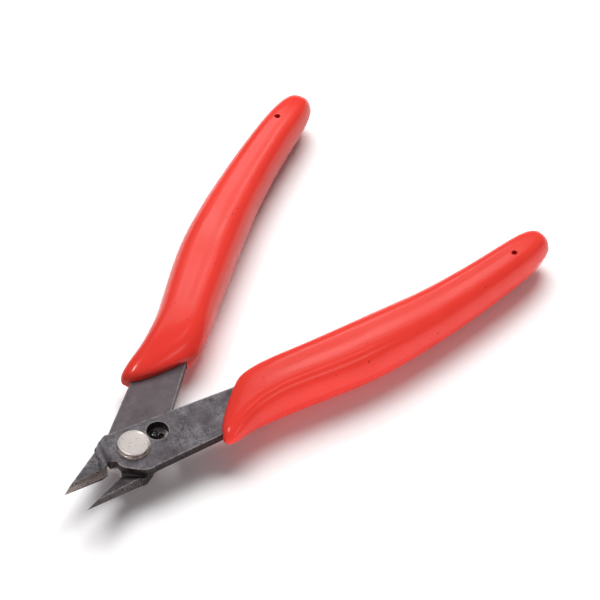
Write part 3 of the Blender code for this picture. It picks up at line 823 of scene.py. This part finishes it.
def oxide_layers(look, cool, warm, wear):
    """Blotches of oxide with pits, fine pale swirls, a few bare specks, and corners made paler,
    partly as wear and partly as a painted highlight along the edges.
    Gives their colour, and the grain that the pits and specks come from."""
    mottle = look.remap(look.noise(3.5, 6.0, 0.68), 0.32, 0.68)
    colour = look.mix(mottle, cool, warm)
    swirl = look.math("ABSOLUTE", look.math("SUBTRACT", look.noise(2.2, 7.0, 0.78), 0.5), 0.0)
    thread = look.remap(swirl, 0.0, 0.03, wear, 0.0)
    patch = look.remap(look.noise(6.0, 2.0), 0.38, 0.58)
    colour = look.mix(look.math("MULTIPLY", thread, patch), colour, SWIRL_GREY)
    grain = look.noise(0.45, 4.0, 0.7)
    pits = look.remap(grain, 0.3, 0.4, 0.25, 1.0)
    colour = look.mix(1.0, colour, look.mix(pits, PIT_SHADE, WHITE), "MULTIPLY")
    bare = look.remap(grain, 0.66, 0.69, 0.0, wear)
    colour = look.mix(bare, colour, SPECK_GREY)
    # Paler corners: worn oxide in patches, and a painted highlight along every sharp edge.
    uneven = look.remap(look.noise(0.8, 4.0), 0.38, 0.56, 0.05, 1.0)
    rubbed_and_lit = look.math("MULTIPLY", look.corners(0.8), uneven)
    colour = look.mix(look.math("MULTIPLY", rubbed_and_lit, 0.8), colour, CORNER_WEAR_AND_HIGHLIGHT)
    return colour, grain


def blackened_steel(name, cool, warm, wear):
    """Oxide with two crossed sets of fine pale scratches."""
    look = Look(name, metallic=0.75)
    colour, grain = oxide_layers(look, cool, warm, wear)
    sets = [look.noise(1.0, 2.0, 0.5, look.stretched(size, turn)) for size, turn in SCRATCH_SETS]
    scratches = look.remap(look.math("MAXIMUM", *sets), 0.60, 0.66)
    scratches = look.math("MULTIPLY", scratches, look.remap(look.noise(3.0), 0.4, 0.55))
    colour = look.mix(look.math("MULTIPLY", scratches, wear * 0.6), colour, SCRATCH_GREY)
    rough = look.remap(look.noise(1.6, 5.0, 0.65), 0.3, 0.7, 0.42, 0.6)
    normal = look.bump(grain, 0.012, look.bump(look.noise(2.4, 3.0), 0.02))
    return look.feed(Base_Color=colour, Roughness=rough, Normal=normal)


def worn_edge_and_ridge_highlight():
    """Corners where the oxide is worn to bare steel in places, with small dark chips; also the upper
    jaw's ridge, as a painted highlight over wear.
    """
    look = Look("worn_edge_and_ridge_highlight", metallic=0.9)
    colour = oxide_layers(look, *EDGE_OXIDE, 0.8)[0]
    bare = look.remap(look.noise(1.3, 4.0, 0.6), 0.44, 0.6)
    colour = look.mix(bare, colour, EDGE_STEEL)
    chips = look.remap(look.noise(0.45, 2.0), 0.60, 0.64)
    colour = look.mix(chips, colour, CHIP_BLACK)
    rough = look.remap(look.noise(0.5, 3.0), 0.3, 0.7, 0.3, 0.45)
    return look.feed(Base_Color=colour, Roughness=rough, Normal=look.bump(look.noise(0.3), 0.01))


def ground_steel(name, dark, light):
    """Walls left by shearing and grinding, with fine upright marks."""
    look = Look(name, metallic=0.85)
    marks = look.noise(1.0, 3.0, 0.6, look.stretched(MARK_SIZE))
    broad = look.remap(look.noise(2.5, 3.0), 0.3, 0.7)
    colour = look.mix(look.remap(marks, 0.3, 0.7), dark, light)
    colour = look.mix(look.math("MULTIPLY", broad, 0.35), colour, dark)
    nicks = look.remap(look.noise(0.7, 3.0), 0.60, 0.66)
    colour = look.mix(nicks, colour, NICK_BLACK)
    # Paler near sharp corners: worn steel, and a painted highlight along the edges.
    colour = look.mix(look.math("MULTIPLY", look.corners(0.2), 0.5), colour, GROUND_CORNER_WEAR_AND_HIGHLIGHT)
    rough = look.remap(marks, 0.3, 0.7, 0.36, 0.5)
    return look.feed(Base_Color=colour, Roughness=rough, Normal=look.bump(marks, 0.02))


def nickel_plate():
    """Plating with turned lines round the pivot, a painted highlight on the rim and painted shade on
    the side wall.
    """
    look = Look("nickel_plate", metallic=0.75)
    centred = look.node("ShaderNodeVectorMath", {0: look.place, 1: -PIVOT * MM},
                        operation="ADD").outputs[0]
    flat = look.node("ShaderNodeVectorMath", {0: centred, 1: (1.0, 1.0, 0.0)},
                     operation="MULTIPLY").outputs[0]
    reach = look.node("ShaderNodeVectorMath", {0: flat}, operation="LENGTH").outputs["Value"]
    ring_place = look.math("MULTIPLY", reach, TURNED_LINES_PER_METRE)
    rings = look.node("ShaderNodeTexNoise", {"W": ring_place, "Detail": 2.0, "Scale": 1.0},
                      noise_dimensions="1D").outputs["Fac"]
    cloud = look.remap(look.noise(1.4, 4.0), 0.3, 0.7)
    colour = look.mix(look.remap(rings, 0.40, 0.60), look.mix(cloud, *NICKEL), NICKEL_LINES)
    # Painted highlight: the head's face turns paler towards its rim.
    rim_highlight_start, rim_highlight_end = (HEAD_RADIUS - 0.42) * MM, (HEAD_RADIUS - 0.25) * MM
    colour = look.mix(look.remap(reach, rim_highlight_start, rim_highlight_end), colour, NICKEL_RIM_HIGHLIGHT)
    # Painted shade: everything below the head's top face, the washer too, takes a darker mix of
    # nickel.
    height = look.node("ShaderNodeSeparateXYZ", {0: centred}).outputs["Z"]
    above_side_shade = look.remap(height, (HEAD_TOP - 0.16) * MM, (HEAD_TOP - 0.10) * MM)
    side_shade_colour = look.mix(look.remap(look.noise(1.2), 0.4, 0.6), *NICKEL_SIDE_SHADE)
    colour = look.mix(above_side_shade, side_shade_colour, colour)
    rough = look.remap(look.noise(0.6, 4.0), 0.3, 0.7, 0.26, 0.36)
    normal = look.bump(rings, 0.006, look.bump(look.noise(0.8, 3.0), 0.003))
    return look.feed(Base_Color=colour, Roughness=rough, Normal=normal)


def spring_steel():
    look = Look("spring_steel", metallic=1.0)
    cloud = look.remap(look.noise(1.2, 4.0), 0.3, 0.7)
    colour = look.mix(cloud, *SPRING_GREY)
    rough = look.remap(look.noise(0.5, 3.0), 0.3, 0.7, 0.2, 0.32)
    return look.feed(Base_Color=colour, Roughness=rough, Normal=look.bump(look.noise(0.25), 0.001))


def floor_material():
    look = Look("pale_floor")
    cloud = look.remap(look.noise(60.0, 3.0), 0.3, 0.7)
    colour = look.mix(cloud, *FLOOR_GREYS)
    rough = look.remap(look.noise(20.0, 3.0), 0.3, 0.7, 0.5, 0.58)
    return look.feed(Base_Color=colour, Roughness=rough, Normal=look.bump(look.noise(1.5), 0.003))


# Stage.

def make_floor():
    maker = bmesh.new()
    bmesh.ops.create_grid(maker, x_segments=4, y_segments=4, size=FLOOR_HALF_WIDTH)
    floor = work_object(maker, "floor")
    floor.data.materials.append(floor_material())


def make_camera():
    data = bpy.data.cameras.new("camera")
    data.lens = CAMERA_LENS
    data.sensor_width = CAMERA_SENSOR
    data.clip_start, data.clip_end = CAMERA_CLIP
    camera = bpy.data.objects.new("camera", data)
    bpy.context.scene.collection.objects.link(camera)
    right = Vector(CAMERA_RIGHT).normalized()
    up = Vector(CAMERA_UP)
    back = right.cross(up).normalized()
    up = back.cross(right)
    turn = Matrix((right, up, back)).transposed().to_4x4()
    camera.matrix_world = Matrix.Translation(CAMERA_PLACE) @ turn
    bpy.context.scene.camera = camera


def softbox(name, bearing, climb, size, radiance, diffuse=True, glossy=True, tint=WHITE):
    """A panel turned to face the pliers, placed by its bearing from +Y and its climb, in degrees."""
    bearing, climb = math.radians(bearing), math.radians(climb)
    direction = Vector((math.sin(bearing) * math.cos(climb),
                        math.cos(bearing) * math.cos(climb), math.sin(climb)))
    data = bpy.data.lights.new(name, "AREA")
    data.shape = "RECTANGLE"
    data.size, data.size_y = size
    data.energy = radiance * math.pi * size[0] * size[1]
    data.color = tint
    lamp = bpy.data.objects.new(name, data)
    bpy.context.scene.collection.objects.link(lamp)
    lamp.location = direction * PANEL_REACH
    lamp.rotation_euler = direction.to_track_quat("Z", "Y").to_euler()
    lamp.visible_diffuse = diffuse
    lamp.visible_glossy = glossy


def make_light():
    world = bpy.data.worlds.new("studio")
    world.use_nodes = True
    background = world.node_tree.nodes["Background"]
    background.inputs["Color"].default_value = (*WHITE, 1.0)
    background.inputs["Strength"].default_value = WORLD_LIGHT
    bpy.context.scene.world = world
    softbox("key_panel", -38, 52, (0.8, 0.56), KEY_LIGHT, glossy=False)
    softbox("key_reflection", -37, 46, (0.20, 0.13), KEY_REFLECTION, diffuse=False)
    softbox("right_panel", 95, 32, (0.3, 0.10), RIGHT_LIGHT)
    softbox("overhead_reflection", 63, 68, (0.15, 0.12), OVERHEAD_LIGHT, diffuse=False)
    softbox("left_panel", -160, 57, (0.07, 0.06), LEFT_LIGHT, diffuse=False)
    softbox("front_fill", 141, 4, (1.1, 0.1), FRONT_LIGHT, glossy=False, tint=FRONT_TINT)
    bpy.context.scene.view_settings.view_transform = "Standard"


# Pieces of the frame.

def make_levers():
    blue_oxide = blackened_steel("blue_oxide", *BLUE_OXIDE, 1.0)
    brown_oxide = blackened_steel("brown_oxide", *BROWN_OXIDE, 0.15)
    dark_oxide = blackened_steel("jaw_oxide", *JAW_OXIDE, 0.3)
    # The outer-wall finish is also painted shade on the upper lever's notch walls.
    walls = [worn_edge_and_ridge_highlight(), ground_steel("sheared_wall", *SHEARED_STEEL),
             ground_steel("ground_bevel", *BEVEL_STEEL),
             ground_steel("ground_outer_wall_and_notch_shade", *OUTER_AND_NOTCH_SHADE_STEEL)]
    # Pale bare steel for the lower lever's notch walls, made paler still as a painted highlight.
    notch_and_highlight = ground_steel("bare_notch_wall_and_highlight", *BARE_NOTCH_HIGHLIGHT_STEEL)
    lever = mark_and_soften(make_lever(-1), -1)
    steel = [blue_oxide, *walls, blue_oxide, notch_and_highlight]
    settle(lever, "upper_lever_steel", steel, UPPER_BODY, ["upper_lever"])
    lever = mark_and_soften(make_lever(1), 1)
    steel = [brown_oxide, *walls, dark_oxide, notch_and_highlight]
    settle(lever, "lower_lever_steel", steel, LOWER_BODY, ["lower_lever"])


def make_fittings():
    nickel, wire_look = nickel_plate(), spring_steel()
    settle(make_rivet(), "rivet_turned", [nickel], UPPER_BODY, ["pivot_rivet"])
    settle(make_washer(), "washer_turned", [nickel], UPPER_BODY, ["head_washer"])
    settle(make_post(), "post_turned", [wire_look], LOWER_BODY, ["spring_post"])
    spring = settle(make_spring(), "spring_wire", [wire_look], None,
                    ["return_spring"])
    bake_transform(spring)


def make_grips():
    vinyl = red_vinyl()
    settle(make_grip(-1), "right_grip_sleeve", [vinyl], UPPER_BODY, ["right_grip"])
    settle(make_grip(1), "left_grip_sleeve", [vinyl], LOWER_BODY, ["left_grip"])


def main():
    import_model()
    make_camera()
    make_levers()
    make_fittings()
    make_grips()
    make_floor()
    make_light()


main()
